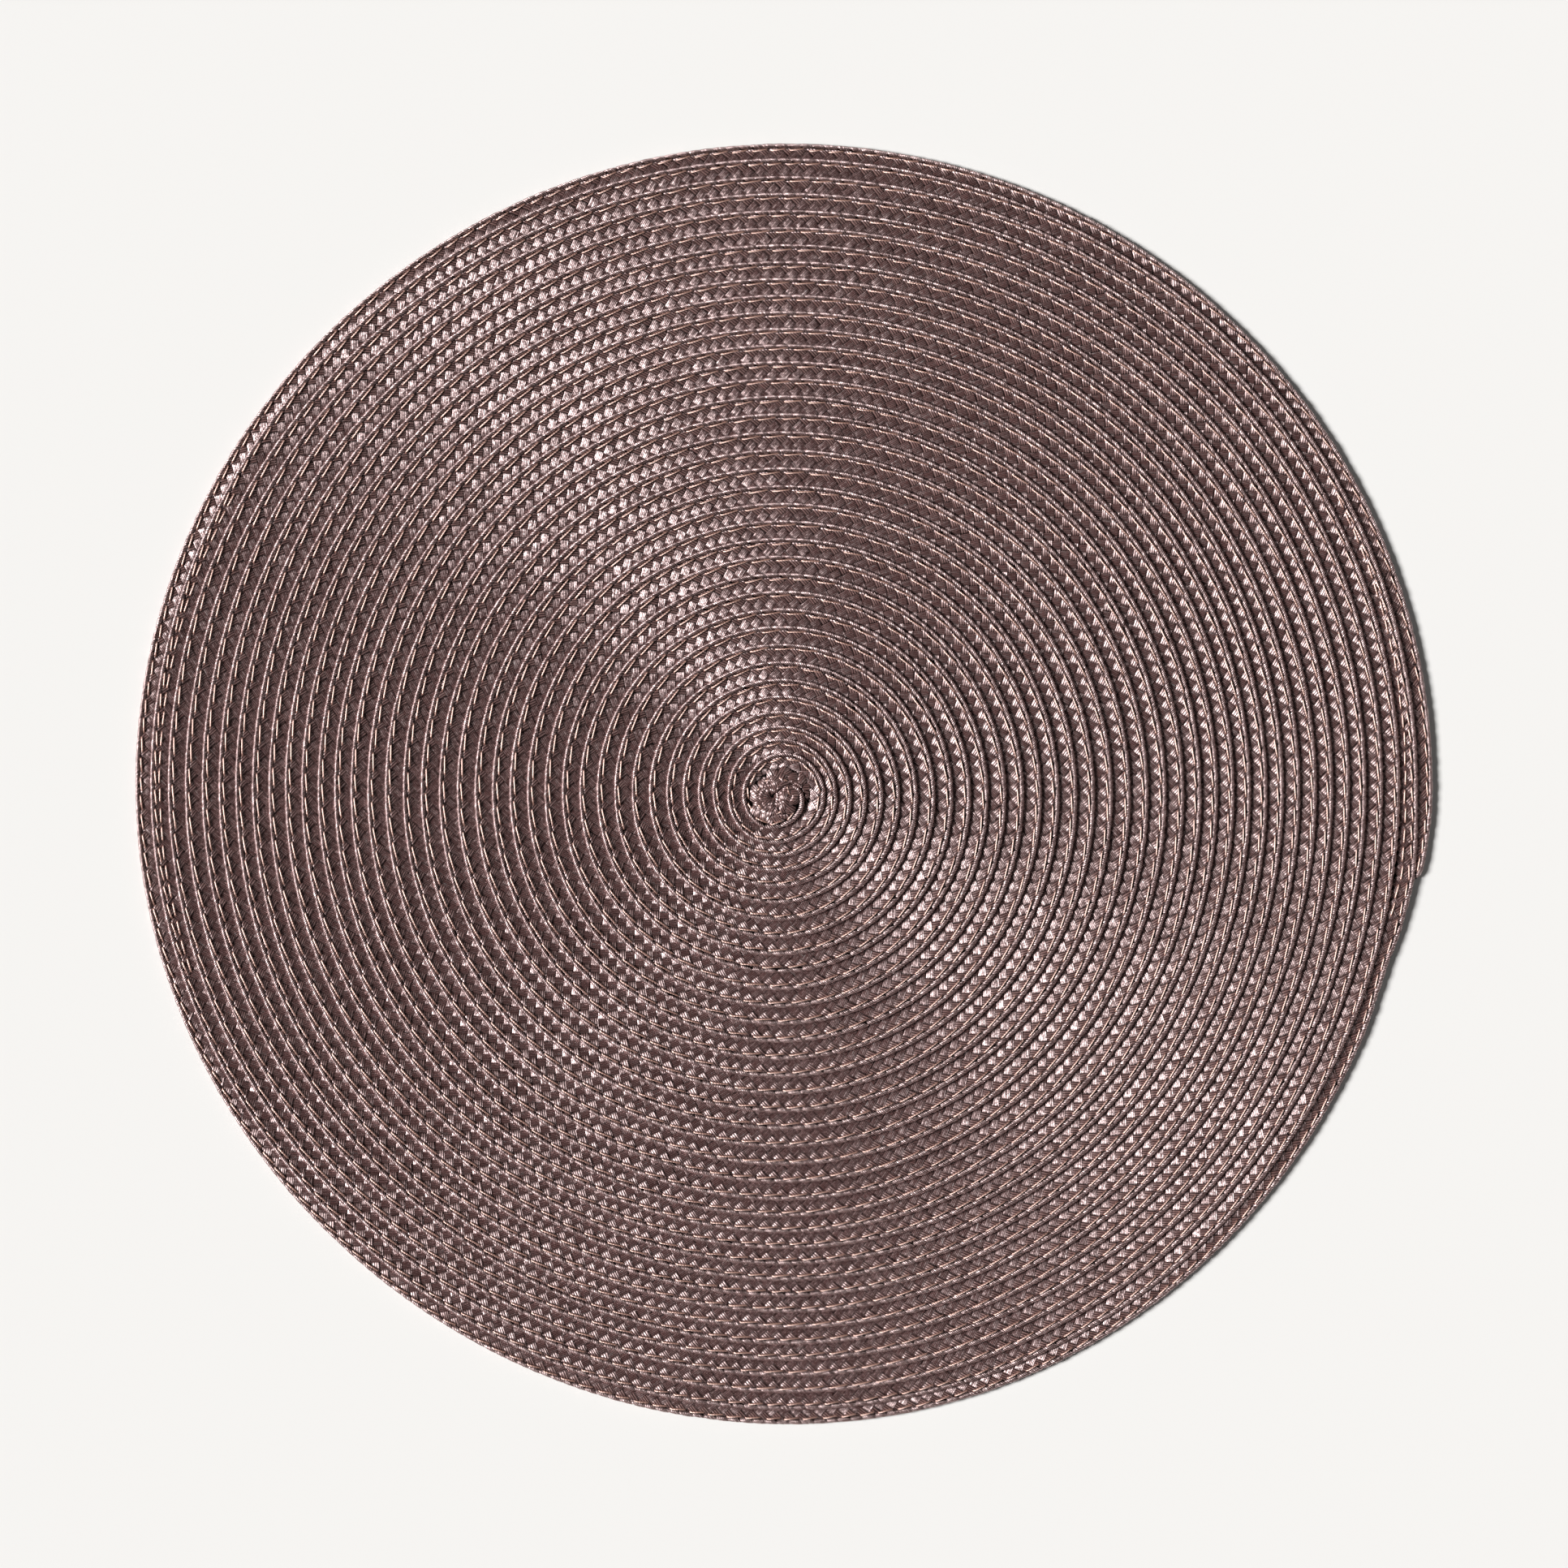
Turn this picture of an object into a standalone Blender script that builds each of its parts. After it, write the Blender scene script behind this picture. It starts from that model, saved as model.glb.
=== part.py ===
"""Round braided placemat, lying flat.

One flat braided tape is wound clockwise, seen from above, from the middle outwards. Each turn
is sewn over the inner edge of the next turn out, so the top is a low spiral terrace: it rises
outwards across each turn to a ridge at that turn's outer edge, and steps down there. The
underside is flat. The tape ends, tapered, at the right edge of the mat.

Metres, +Z up. The origin is at the middle of the mat's box, on the surface that it lies on.
"""

import math

import bmesh
import bpy

# Driving dimensions. A turn is counted along the tape, from its inner start.
START_RADIUS = 0.0062  # the ridge where the innermost turn begins, before BENDS
WOUND_TURNS = 37.7
END_CLOCKWISE = math.radians(8.0)  # where the tape ends, from +X
END_TAPER_TURNS = 0.02
END_TAPER_WIDTH = 0.0022  # how far the ridge draws in at the tape's end
LAST_TURN_PULL = 0.0010  # the last turn starts this much further in, beside the tape's end
LAST_TURN_PULL_TURNS = 0.03

RIDGE_HEIGHT = 0.0028  # two layers of tape, and the rounded edge
STEP_DROP = 0.0011  # from a ridge down to the next turn out
STEP_WIDTH = 0.0004
RIM_HEIGHT = 0.0022  # the last turn has no other turn under its edge
RIM_SETTLE_TURNS = 0.12
START_RAMP_TURNS = 0.35  # over these the first step grows to its full drop
ROSETTE_HEIGHT = 0.0024
EDGE_ROUND = 0.0005  # the rim bulges out this far between its top and its foot

STEPS_A_TURN = 48

# How far one turn's ridge lies outside the last one's, along the tape: (turn, pitch).
PITCHES = (
    (0.0, 0.0039),
    (3.0, 0.0041),
    (6.5, 0.00505),
    (8.0, 0.00514),
    (17.0, 0.00514),
    (19.0, 0.00525),
    (22.5, 0.0052),
    (24.0, 0.0048),
    (35.0, 0.0049),
    (36.0, 0.0052),
    (38.0, 0.00545),
)

# How the first turns are drawn in as they close round the middle: (turn, shift of the ridge).
BENDS = (
    (0.65, -0.0036),
    (0.76, -0.0019),
    (1.0, 0.0002),
    (1.3, -0.0013),
    (1.6, 0.0003),
    (1.8, 0.0),
)

# How the turns' own middles drift off the rim's middle: (radius, x, y).
DRIFTS = (
    (0.0, -0.0011, -0.0012),
    (0.030, -0.0009, -0.0016),
    (0.090, -0.0003, -0.0014),
    (0.150, 0.0, -0.0007),
    (0.175, 0.0, 0.0),
)

# How the hand-guided winding strays from round at the rim: (waves a turn, size, clockwise peak).
WOBBLES = (
    (1, 0.0007, math.radians(-90.0)),
    (2, 0.0006, math.radians(9.0)),
    (3, 0.0007, math.radians(68.0)),
    (4, 0.0003, math.radians(-10.0)),
)

TAPE_COLOUR = (0.135, 0.085, 0.075, 1.0)
TAPE_ROUGHNESS = 0.55

LAST_STEP = round(WOUND_TURNS * STEPS_A_TURN)
RIM_START = LAST_STEP - STEPS_A_TURN  # from here on no turn lies outside the tape


def between(value, low, high):
    """How far value is from low to high, from 0 to 1, with smooth ends."""
    share = min(max((value - low) / (high - low), 0.0), 1.0)
    return share * share * (3.0 - 2.0 * share)


def read_table(table, at, column=1):
    """A column's value at a place in the table's first column, with straight runs between rows."""
    if at <= table[0][0]:
        return table[0][column]
    for first, second in zip(table, table[1:]):
        if at <= second[0]:
            share = (at - first[0]) / (second[0] - first[0])
            return first[column] + (second[column] - first[column]) * share
    return table[-1][column]


def edge_radii():
    """The radius of the ridge at every step, if the winding were even."""
    radii = [START_RADIUS]
    for step in range(LAST_STEP):
        radii.append(radii[-1] + read_table(PITCHES, step / STEPS_A_TURN) / STEPS_A_TURN)
    return radii


RADII = edge_radii()


def clockwise(step):
    return END_CLOCKWISE - math.tau * (LAST_STEP - step) / STEPS_A_TURN


def place(step, outward, height):
    """A point beside the ridge at a step: outward from it, and up."""
    turn = step / STEPS_A_TURN
    angle = clockwise(step)
    size = RADII[step]
    share = (size / RADII[-1]) ** 2
    radius = size + read_table(BENDS, turn) + outward
    radius += share * sum(
        wave * math.cos(waves * (angle - peak)) for waves, wave, peak in WOBBLES
    )
    last_turn = WOUND_TURNS - 1.0
    radius -= LAST_TURN_PULL * between(turn, last_turn, last_turn + LAST_TURN_PULL_TURNS)
    radius -= END_TAPER_WIDTH * between(turn, WOUND_TURNS - END_TAPER_TURNS, WOUND_TURNS)
    x = radius * math.cos(angle) + read_table(DRIFTS, size, 1)
    y = -radius * math.sin(angle) + read_table(DRIFTS, size, 2)
    return (x, y, height)


def ridge_height(step):
    settle = RIM_SETTLE_TURNS * STEPS_A_TURN
    sunk = between(step, RIM_START - settle / 2, RIM_START + settle / 2)
    return RIDGE_HEIGHT + (RIM_HEIGHT - RIDGE_HEIGHT) * sunk


def foot_height(step):
    grown = between(step, 0, START_RAMP_TURNS * STEPS_A_TURN)
    return ridge_height(step) - STEP_DROP * grown


def add_row(bm, steps, outward, height_of):
    """Points along the tape, one a step, as {step: vertex}."""
    return {step: bm.verts.new(place(step, outward, height_of(step))) for step in steps}


def add_strip(bm, first, second, steps, shift=0):
    """Quads between two rows. The second row is read shift steps further on."""
    for step in steps:
        corners = (
            first[step],
            first[step + 1],
            second[step + 1 + shift],
            second[step + shift],
        )
        bm.faces.new(corners)


def add_terrace(bm):
    """The stepped top: its ridges and the feet of its steps."""
    ridge = add_row(bm, range(LAST_STEP + 1), 0.0, ridge_height)
    foot = add_row(bm, range(RIM_START + 1), STEP_WIDTH, foot_height)
    add_strip(bm, ridge, foot, range(RIM_START))
    add_strip(bm, foot, ridge, range(RIM_START), STEPS_A_TURN)

    middle = bm.verts.new((0.0, 0.0, ROSETTE_HEIGHT))
    last = STEPS_A_TURN - 1
    for step in range(last):
        bm.faces.new((middle, ridge[step], ridge[step + 1]))
    bm.faces.new((middle, ridge[last], ridge[last + 1], foot[0], ridge[0]))
    return ridge, foot


def add_rim(bm, ridge, foot):
    """The outer wall along the last turn, the tape's cut end, and the flat underside."""
    rim = range(RIM_START, LAST_STEP + 1)
    bulge = add_row(bm, rim, EDGE_ROUND, lambda step: ridge_height(step) / 2)
    base = add_row(bm, rim, 0.0, lambda step: 0.0)
    add_strip(bm, ridge, bulge, range(RIM_START, LAST_STEP))
    add_strip(bm, bulge, base, range(RIM_START, LAST_STEP))

    end = (
        ridge[RIM_START],
        foot[RIM_START],
        ridge[LAST_STEP],
        bulge[LAST_STEP],
        base[LAST_STEP],
        base[RIM_START],
        bulge[RIM_START],
    )
    bm.faces.new(end)

    under = bm.verts.new((0.0, 0.0, 0.0))
    for step in range(RIM_START, LAST_STEP - 1):
        bm.faces.new((under, base[step], base[step + 1]))
    bm.faces.new((under, base[LAST_STEP - 1], base[LAST_STEP], base[RIM_START]))


def centre_on_origin(bm):
    """Moves the mesh so that its box is centred over the origin."""
    for axis in (0, 1):
        places = [vert.co[axis] for vert in bm.verts]
        middle = (min(places) + max(places)) / 2
        for vert in bm.verts:
            vert.co[axis] -= middle


def tape_material():
    material = bpy.data.materials.new("braided_tape")
    material.use_nodes = True
    shader = material.node_tree.nodes["Principled BSDF"]
    shader.inputs["Base Color"].default_value = TAPE_COLOUR
    shader.inputs["Roughness"].default_value = TAPE_ROUGHNESS
    shader.inputs["Metallic"].default_value = 0.0
    return material


def add_spiral_mat():
    bm = bmesh.new()
    ridge, foot = add_terrace(bm)
    add_rim(bm, ridge, foot)
    centre_on_origin(bm)
    bmesh.ops.triangulate(bm, faces=bm.faces[:])
    bmesh.ops.recalc_face_normals(bm, faces=bm.faces[:])
    mesh = bpy.data.meshes.new("spiral_mat")
    bm.to_mesh(mesh)
    bm.free()
    mesh.materials.append(tape_material())
    mat = bpy.data.objects.new("spiral_mat", mesh)
    bpy.context.scene.collection.objects.link(mat)


for old in list(bpy.data.objects):
    bpy.data.objects.remove(old)
add_spiral_mat()
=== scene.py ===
"""A round placemat, made of one braided tape that is wound in a flat spiral and sewn.

The tape is a closed sheet that follows the winding. Over it lie the crossings of its plait, each a
short curved stretch of flat ribbon that ends under its neighbours, and then the sewing thread.
Sizes are in millimetres, and MM turns them into metres. The origin is at the middle of the mat's
box, on the surface that it lies on.
"""

import math
from collections import namedtuple

import bmesh
import bpy
import numpy as np
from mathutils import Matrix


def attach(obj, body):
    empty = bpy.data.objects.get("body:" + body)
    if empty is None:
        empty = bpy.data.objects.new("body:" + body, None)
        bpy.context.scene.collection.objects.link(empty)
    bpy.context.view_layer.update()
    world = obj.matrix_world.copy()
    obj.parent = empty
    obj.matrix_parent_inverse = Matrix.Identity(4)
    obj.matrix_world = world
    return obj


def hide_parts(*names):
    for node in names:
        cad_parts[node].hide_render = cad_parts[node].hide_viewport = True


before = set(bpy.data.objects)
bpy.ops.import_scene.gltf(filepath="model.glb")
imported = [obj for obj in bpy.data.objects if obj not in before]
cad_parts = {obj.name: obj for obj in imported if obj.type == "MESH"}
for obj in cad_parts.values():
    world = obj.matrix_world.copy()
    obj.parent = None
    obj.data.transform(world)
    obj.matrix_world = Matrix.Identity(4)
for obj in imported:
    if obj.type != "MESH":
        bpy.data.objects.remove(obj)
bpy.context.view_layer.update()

MM = 0.001
MAT_NODE = "spiral_mat"
BODY = "root"
SEED = 41

# The winding. A turn is counted along the tape, from its inner start, and clockwise from above.
START_RADIUS = 6.7  # the tape's outer edge where the innermost turn would begin, before BENDS
WOUND_TURNS = 37.7
END_CLOCKWISE = math.radians(8.0)  # where the tape ends, from +X
END_TAPER_TURNS = 0.02
END_TAPER_WIDTH = 1.0  # how far the outer edge draws in at the tape's end
END_CORNER = 8.0  # and over this last stretch it rounds off
END_CORNER_WIDTH = 1.7
# How far one turn's edge lies outside the last one's, by the turn.
PITCH_TURNS = (0.0, 3.0, 6.5, 8.0, 17.0, 19.0, 22.5, 24.0, 28.0, 35.0, 36.0, 38.0)
PITCHES = (3.9, 4.1, 5.05, 5.14, 5.14, 5.25, 5.2, 4.8, 4.77, 4.9, 5.2, 5.45)
# The last turn starts beside the tape's end. It bulges there, and then it lies further in.
LAST_TURN_ON = (-0.02, 0.0, 0.008, 0.014, 0.022, 0.03, 0.04)
LAST_TURN_SHIFTS = (0.0, 1.0, 0.35, -0.1, -1.3, -1.4, -1.0)

# How the winding strays from round at the rim: (waves a turn, size, clockwise peak).
WOBBLES = (
    (1, 0.7, math.radians(-90.0)),
    (2, 0.6, math.radians(9.0)),
    (3, 0.7, math.radians(68.0)),
    (4, 0.3, math.radians(-10.0)),
)

# The first turn is bent to close up round the middle, and the turns' own middles drift with size.
BEND_TURNS = (0.52, 0.6, 0.65, 0.75, 0.9, 1.0, 1.15, 1.3, 1.5, 1.65, 1.85, 2.0, 2.2, 2.4, 2.7)
BENDS = (-6.2, -3.4, -2.1, -1.2, -0.5, 0.4, -0.5, -1.1, 0.5, 0.7, -0.2, 0.7, -0.4, 0.3, 0.0)
DRIFT_RADII = (0.0, 30.0, 60.0, 90.0, 120.0, 150.0, 175.0)
DRIFT_X = (-1.1, -0.85, -0.55, -0.25, -0.2, 0.0, 0.0)
DRIFT_Y = (-1.2, -1.65, -1.45, -1.4, -1.2, -0.7, 0.0)

# The tape's surface, from under its outer edge to its hidden inner edge: how far inside the outer
# edge, and how high. As far in as 1.3, where the stitches pull it down, it is a roll.
OUTLINE = (
    (1.7, 1.0),
    (0.6, 1.15),
    (0.2, 1.4),
    (0.0, 1.8),
    (0.05, 2.15),
    (0.2, 2.42),
    (0.5, 2.64),
    (0.8, 2.56),
    (1.05, 2.36),
    (1.3, 2.12),
    (1.55, 2.06),
    (2.0, 1.93),
    (2.6, 1.76),
    (3.3, 1.64),
    (5.05, 1.35),
    (7.0, 0.85),
)
OUTLINE_STEP = 0.02
OUTLINE_ROUNDING = 0.08
OUTLINE_PITCH = 5.05  # the pitch that this outline is drawn for
SLOPE_START = 1.95  # from here in, the outline narrows and widens with the pitch
TOP_ACROSS = 0.3  # over the surface from the outer edge: from here on it faces up
SLOPE_ACROSS = 2.4  # and from here on it is the inner slope

# The last turn has no turn under its edge, so the edge sinks to the floor.
RIM_SETTLE_TURNS = 0.12
RIM_STRETCH = 1.227  # its heights are stretched, and then they drop
RIM_DROP = 1.173
RIM_SOFT_START = 1.0  # from here in, the tape sinks less and less
RIM_SOFT_END = 4.5
RIM_POINTS = 721  # round it, to find its middle

# At its cut end the tape folds down.
END_FOLD = 0.85  # by this share of its height
END_FOLD_RUN = 1.6  # before its end and past it

# The plait: two sets of flat ribbons at 45 degrees to the tape, one over and one under.
CELL = 3.6  # along the tape, from one crossing to the next of its row
RIBBON = CELL / math.sqrt(2.0)
HALF_WIDTH = 1.27  # of the ribbon that shows
LANES = (-HALF_WIDTH, -1.0, 0.0, 1.0, HALF_WIDTH)  # the lines of points along a ribbon
TUCK = 0.34  # how far a crossing's ends run on under its neighbours
FULL = RIBBON / 2.0 + TUCK
SIDE_DROP = 0.15  # of a ribbon's sides
SIDE_DROP_START = 0.9
SIDE_BOW = 0.03  # of the whole ribbon, for each square millimetre off its middle
ROW_START = 1.05  # across the tape: the outermost row of crossings, which is the rolled edge
ROW_STEP = CELL / 2.0
ENDS = 5  # yarn ends side by side in a ribbon
END_WIDTH = 2.0 * HALF_WIDTH / ENDS
SHOULDER_END_WIDTH = 0.68  # beside the stitches they spread
MIDLINE = 2.5  # inside the outer edge: where the tape's own length is measured

# Sewing thread. From the start of one stitch to the next, by the turn.
STITCH_TURNS = (0.8, 3.0, 8.0, 35.7, 35.71)
STITCH_PITCHES = (4.4, 5.4, 7.1, 7.1, 5.6)
STITCH_SHARE = 0.8  # of the pitch, seen on top
STITCH_START_INWARD = 1.92  # a stitch leans outwards along the tape
STITCH_END_INWARD = 1.38
THREAD_RADIUS = 0.29
THREAD_LIFT = 0.16  # of its middle, off the tape
THREAD_BED = 2.16  # it bridges the crease at this height

FIRST_TURN = 0.55  # the tape's edge shows from here on
BODY_TURN = 0.7  # its sheet is modelled from here on
FLAT_TURN = 1.2  # and its plait from here on; before that it is gathered to the middle
PAST_END = 0.01  # turns past the tape's end, over which its surface folds down
STEPS_A_TURN = 192
LEAST_RADIUS = 1.0  # of any point on the winding
LEAST_HEIGHT = 0.05  # of any point over the floor


def between(value, low, high):
    """How far value is from low to high, from 0 to 1, with smooth ends."""
    share = np.clip((value - low) / (high - low), 0.0, 1.0)
    return share * share * (3.0 - 2.0 * share)


# -------- the winding

def running_sum(rates, step):
    """The sum along a row of rates, by the trapezium rule, from zero."""
    parts = (rates[1:] + rates[:-1]) / 2.0 * step
    return np.concatenate([[0.0], np.cumsum(parts)])


TURNS = np.linspace(0.0, WOUND_TURNS + PAST_END, round(WOUND_TURNS * STEPS_A_TURN) + 1)
TURN_STEP = TURNS[1] - TURNS[0]
EVEN_RADII = START_RADIUS + running_sum(np.interp(TURNS, PITCH_TURNS, PITCHES), TURN_STEP)
RUNS = running_sum((EVEN_RADII - MIDLINE) * math.tau, TURN_STEP)
RIM_RADIUS = np.interp(WOUND_TURNS, TURNS, EVEN_RADII)
TAPE_LENGTH = np.interp(WOUND_TURNS, TURNS, RUNS)
RIM_TURN = WOUND_TURNS - 1.0


def clockwise(turn):
    return END_CLOCKWISE - math.tau * (WOUND_TURNS - turn)


def edge_radius(turn):
    """The radius of the tape's outer edge, with the winding's wobbles and the end's taper."""
    radius = np.interp(turn, TURNS, EVEN_RADII)
    share = (radius / RIM_RADIUS) ** 2
    for waves, size, peak in WOBBLES:
        radius = radius + share * size * np.cos(waves * (clockwise(turn) - peak))
    radius = radius + np.interp(turn, BEND_TURNS, BENDS)
    radius = radius + np.interp(turn - RIM_TURN, LAST_TURN_ON, LAST_TURN_SHIFTS)
    to_end = (WOUND_TURNS - turn) * math.tau * RIM_RADIUS
    corner = np.clip(1.0 - to_end / END_CORNER, 0.0, 1.0)
    radius = radius - END_CORNER_WIDTH * (1.0 - np.sqrt(1.0 - corner ** 2))
    return radius - END_TAPER_WIDTH * between(turn, WOUND_TURNS - END_TAPER_TURNS, WOUND_TURNS)


def middle_of_rim():
    """The middle of the last turn's box, in the winding's own frame."""
    turn = np.linspace(RIM_TURN, WOUND_TURNS, RIM_POINTS)
    radius = edge_radius(turn)
    x = radius * np.cos(clockwise(turn))
    y = -radius * np.sin(clockwise(turn))
    return (x.min() + x.max()) / 2.0, (y.min() + y.max()) / 2.0


MIDDLE_X, MIDDLE_Y = middle_of_rim()


def outline_points():
    """The outline at even steps over the surface: places on it, distances inside the edge,
    heights, and the parts inwards and up of the normals."""
    corners = np.array(OUTLINE)
    lengths = np.hypot(*np.diff(corners, axis=0).T)
    places = np.concatenate([[0.0], np.cumsum(lengths)])
    places -= places[corners[:, 0].argmin()]
    even = np.arange(places[0], places[-1], OUTLINE_STEP)
    inward = np.interp(even, places, corners[:, 0])
    height = np.interp(even, places, corners[:, 1])
    reach = round(3.0 * OUTLINE_ROUNDING / OUTLINE_STEP)
    offsets = np.arange(-reach, reach + 1) * OUTLINE_STEP
    weights = np.exp(-0.5 * (offsets / OUTLINE_ROUNDING) ** 2)
    weights /= weights.sum()
    inward = np.convolve(np.pad(inward, reach, mode="edge"), weights, mode="valid")
    height = np.convolve(np.pad(height, reach, mode="edge"), weights, mode="valid")
    along = np.stack([np.gradient(inward), np.gradient(height)])
    along /= np.hypot(*along)
    return even, inward, height, -along[1], along[0]


ACROSS, INWARD, HEIGHT, NORMAL_INWARD, NORMAL_UP = outline_points()


def height_at(inward, start=TOP_ACROSS):
    """The outline's height on its part from start on, by the distance inside the edge."""
    part = ACROSS > start
    return np.interp(inward, INWARD[part], HEIGHT[part])


def at_rim(turn):
    """1 along the last turn, and 0 along those that have a turn under their edge."""
    half = RIM_SETTLE_TURNS / 2.0
    return between(turn, RIM_TURN - half, RIM_TURN + half)


def tape_height(inward, turn, height):
    """An outline height made to fit the pitch, and sunk along the rim."""
    pitch = np.interp(turn, PITCH_TURNS, PITCHES)
    slope_scale = (OUTLINE_PITCH - SLOPE_START) / (pitch - SLOPE_START)
    scaled = SLOPE_START + (inward - SLOPE_START) * slope_scale
    height = np.where(inward > SLOPE_START, height_at(scaled, SLOPE_ACROSS), height)
    sunk = at_rim(turn) * (1.0 - between(inward, RIM_SOFT_START, RIM_SOFT_END))
    height = height + sunk * (height * RIM_STRETCH - RIM_DROP - height)
    past = (turn - WOUND_TURNS) * math.tau * RIM_RADIUS
    return height * (1.0 - END_FOLD * between(past, -END_FOLD_RUN, END_FOLD_RUN))


def to_world(turn, radius, height):
    """Metres in the frame, from a place on the winding."""
    angle = clockwise(turn)
    size = np.interp(turn, TURNS, EVEN_RADII)
    radius = np.maximum(radius, LEAST_RADIUS)
    x = radius * np.cos(angle) - MIDDLE_X + np.interp(size, DRIFT_RADII, DRIFT_X)
    y = -radius * np.sin(angle) - MIDDLE_Y + np.interp(size, DRIFT_RADII, DRIFT_Y)
    return np.stack(np.broadcast_arrays(x, y, height), axis=-1) * MM


def on_tape(run, across, lift):
    """Points on the wound tape: along it, across its surface from the outer edge in, and off it."""
    turn = np.interp(run, RUNS, TURNS)
    inward = np.interp(across, ACROSS, INWARD)
    height = tape_height(inward, turn, np.interp(across, ACROSS, HEIGHT))
    inward = inward + lift * np.interp(across, ACROSS, NORMAL_INWARD)
    height = height + lift * np.interp(across, ACROSS, NORMAL_UP)
    return to_world(turn, edge_radius(turn) - inward, np.maximum(height, LEAST_HEIGHT))


# -------- meshes

def grid_faces(rows, columns, closed=False):
    """The quads of a grid of points, row by row. A closed one joins each row's ends."""
    row = np.arange(rows - 1)[:, None] * columns
    column = np.arange(columns if closed else columns - 1)[None, :]
    after = (column + 1) % columns
    corners = [row + column, row + columns + column, row + columns + after, row + after]
    return np.stack(corners, axis=-1).reshape(-1, 4)


def repeated(faces, count, points_each):
    """The same faces for each of many like patches."""
    starts = np.arange(count)[:, None, None] * points_each
    return (faces[None] + starts).reshape(-1, faces.shape[1])


def add_piece(name, points, faces, material, strands=None, tone=None):
    """A smooth mesh object. strands is a UV pair, and tone a number, for each point."""
    mesh = bpy.data.meshes.new(name)
    points = points.reshape(-1, 3)
    mesh.vertices.add(len(points))
    mesh.vertices.foreach_set("co", points.astype(np.float32).ravel())
    mesh.loops.add(faces.size)
    mesh.loops.foreach_set("vertex_index", faces.astype(np.int32).ravel())
    mesh.polygons.add(len(faces))
    starts = np.arange(len(faces)) * faces.shape[1]
    mesh.polygons.foreach_set("loop_start", starts.astype(np.int32))
    mesh.update(calc_edges=True)
    mesh.shade_smooth()
    if strands is not None:
        layer = mesh.uv_layers.new(name="Strands")
        corners = strands.reshape(-1, 2)[faces.ravel()]
        layer.uv.foreach_set("vector", corners.astype(np.float32).ravel())
    if tone is not None:
        attribute = mesh.attributes.new("tone", "FLOAT", "POINT")
        attribute.data.foreach_set("value", tone.astype(np.float32).ravel())
    mesh.materials.append(material)
    piece = bpy.data.objects.new(name, mesh)
    bpy.context.scene.collection.objects.link(piece)
    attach(piece, BODY)
    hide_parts(MAT_NODE)
    return piece


# -------- materials

class Nodes:
    """Short ways to add and link the nodes of one material."""

    def __init__(self, name):
        self.material = bpy.data.materials.new(name)
        self.material.use_nodes = True
        self.tree = self.material.node_tree
        self.shader = self.tree.nodes["Principled BSDF"]

    def add(self, kind, **settings):
        node = self.tree.nodes.new(kind)
        for key, value in settings.items():
            setattr(node, key, value)
        return node

    def feed(self, socket, value):
        if isinstance(value, bpy.types.NodeSocket):
            self.tree.links.new(value, socket)
        elif value is not None:
            socket.default_value = value

    def math(self, operation, first, second=None, third=None):
        node = self.add("ShaderNodeMath", operation=operation)
        for socket, value in zip(node.inputs, (first, second, third)):
            self.feed(socket, value)
        return node.outputs[0]

    def times(self, *factors):
        """The product of several numbers."""
        product = factors[0]
        for factor in factors[1:]:
            product = self.math("MULTIPLY", product, factor)
        return product

    def line(self, value, slope, start):
        """value times slope, plus start."""
        return self.math("MULTIPLY_ADD", value, slope, start)

    def span(self, value, low, high, start=0.0, end=1.0):
        """value's place from low to high, as a smooth number from start to end."""
        node = self.add("ShaderNodeMapRange", interpolation_type="SMOOTHSTEP")
        for socket, given in zip(node.inputs, (value, low, high, start, end)):
            self.feed(socket, given)
        return node.outputs[0]

    def vector(self, x, y, z=0.0):
        node = self.add("ShaderNodeCombineXYZ")
        for socket, value in zip(node.inputs, (x, y, z)):
            self.feed(socket, value)
        return node.outputs[0]

    def noise(self, vector, scale, detail=2.0):
        node = self.add("ShaderNodeTexNoise")
        self.feed(node.inputs["Vector"], vector)
        node.inputs["Scale"].default_value = scale
        node.inputs["Detail"].default_value = detail
        return node.outputs["Fac"]

    def random(self, vector):
        node = self.add("ShaderNodeTexWhiteNoise", noise_dimensions="3D")
        self.feed(node.inputs["Vector"], vector)
        return node.outputs["Value"]

    def blend(self, factor, first, second):
        """A colour between two."""
        node = self.add("ShaderNodeMix", data_type="RGBA")
        self.feed(node.inputs["Factor"], factor)
        self.feed(node.inputs["A"], first)
        self.feed(node.inputs["B"], second)
        return node.outputs["Result"]

    def scaled(self, colour, factor):
        """A colour times a number."""
        node = self.add("ShaderNodeVectorMath", operation="SCALE")
        self.feed(node.inputs[0], colour)
        self.feed(node.inputs["Scale"], factor)
        return node.outputs[0]

    def strands(self):
        """The along and across parts of the piece's strand map, in millimetres."""
        uv = self.add("ShaderNodeUVMap", uv_map="Strands")
        parts = self.add("ShaderNodeSeparateXYZ")
        self.feed(parts.inputs[0], uv.outputs[0])
        return parts.outputs[0], parts.outputs[1]

    def tilt(self, along, across, up):
        """The shader's normal, from how far it leans along and across the strands."""
        node = self.add("ShaderNodeNormalMap", uv_map="Strands")
        half = [self.line(part, 0.5, 0.5) for part in (along, across, up)]
        self.feed(node.inputs["Color"], self.vector(*half))
        self.feed(self.shader.inputs["Normal"], node.outputs[0])

    def upright(self, lean):
        """What is left of a normal's upward part when it leans sideways."""
        return self.math("SQRT", self.math("SUBTRACT", 1.0, self.times(lean, lean)))

    def follow_strands(self):
        """Makes the gloss run with the piece's strand map."""
        node = self.add("ShaderNodeTangent", direction_type="UV_MAP", uv_map="Strands")
        self.feed(self.shader.inputs["Tangent"], node.outputs[0])

    def set(self, **values):
        """Sets the shader's sockets, named with _ for a space."""
        for name, value in values.items():
            self.feed(self.shader.inputs[name.replace("_", " ")], value)


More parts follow.
